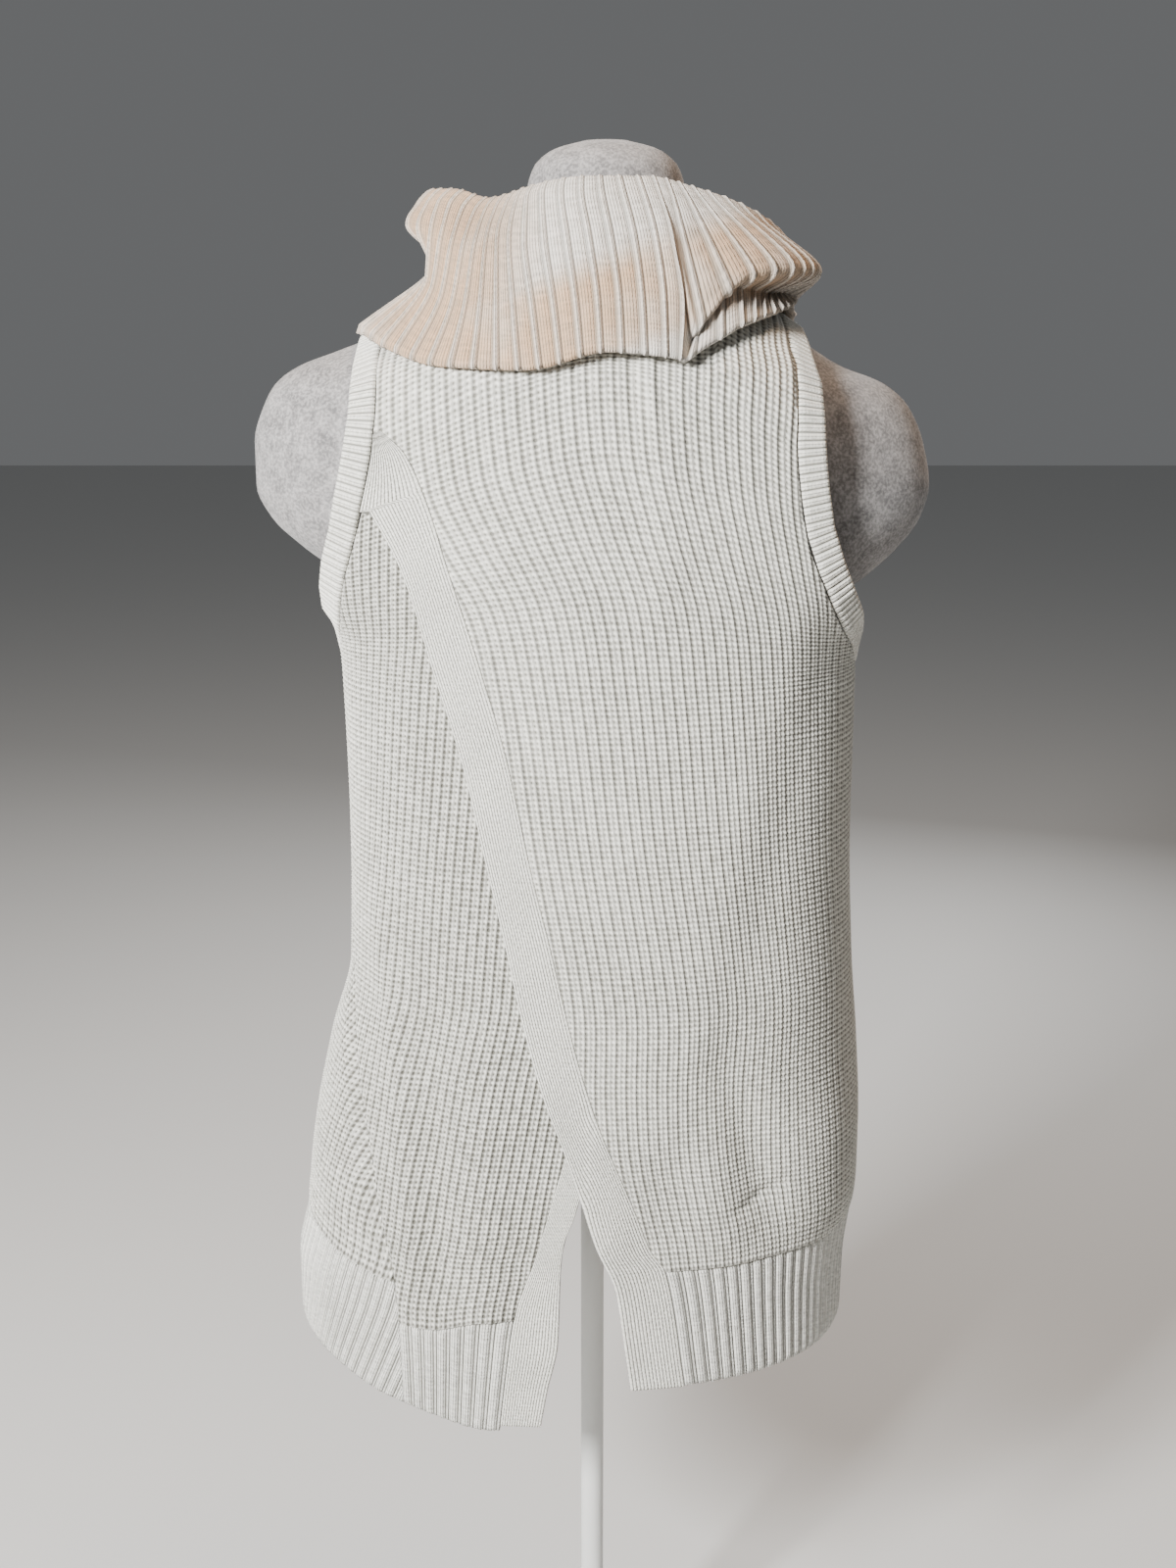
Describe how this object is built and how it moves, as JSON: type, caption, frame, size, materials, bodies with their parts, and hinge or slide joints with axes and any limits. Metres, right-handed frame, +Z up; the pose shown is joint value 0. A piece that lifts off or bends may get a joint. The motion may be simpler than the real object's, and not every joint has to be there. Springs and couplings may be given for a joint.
{
  "type": "turtleneck sweater on dress form",
  "caption": "Sleeveless ribbed turtleneck sweater with a folded collar and a crossed, slit back, worn by a felt-covered limbless form on a round stand.",
  "frame": {"origin": "middle of the underside of the stand's base", "axes": "+Z up, +X to the right of somebody who looks at the back of the sweater, -Y towards them"},
  "size_m": [0.424, 0.3, 1.116],
  "materials": {
    "cream_knit": "thick half-cardigan and ribbed knit, matt",
    "grey_felt": "heathered grey felt, matt",
    "pale_paint": "pale satin paint"
  },
  "bodies": {
    "root": {"armhole_band_left": "cream_knit", "armhole_band_right": "cream_knit", "back_over_panel": "cream_knit", "back_under_panel": "cream_knit", "collar": "cream_knit", "dress_form": "grey_felt", "front_panel": "cream_knit", "hem_front_panel": "cream_knit", "hem_over_panel": "cream_knit", "hem_under_panel": "cream_knit", "over_band": "cream_knit", "stand_base": "pale_paint", "stand_pole": "pale_paint", "under_band": "cream_knit"}
  },
  "joints": []
}
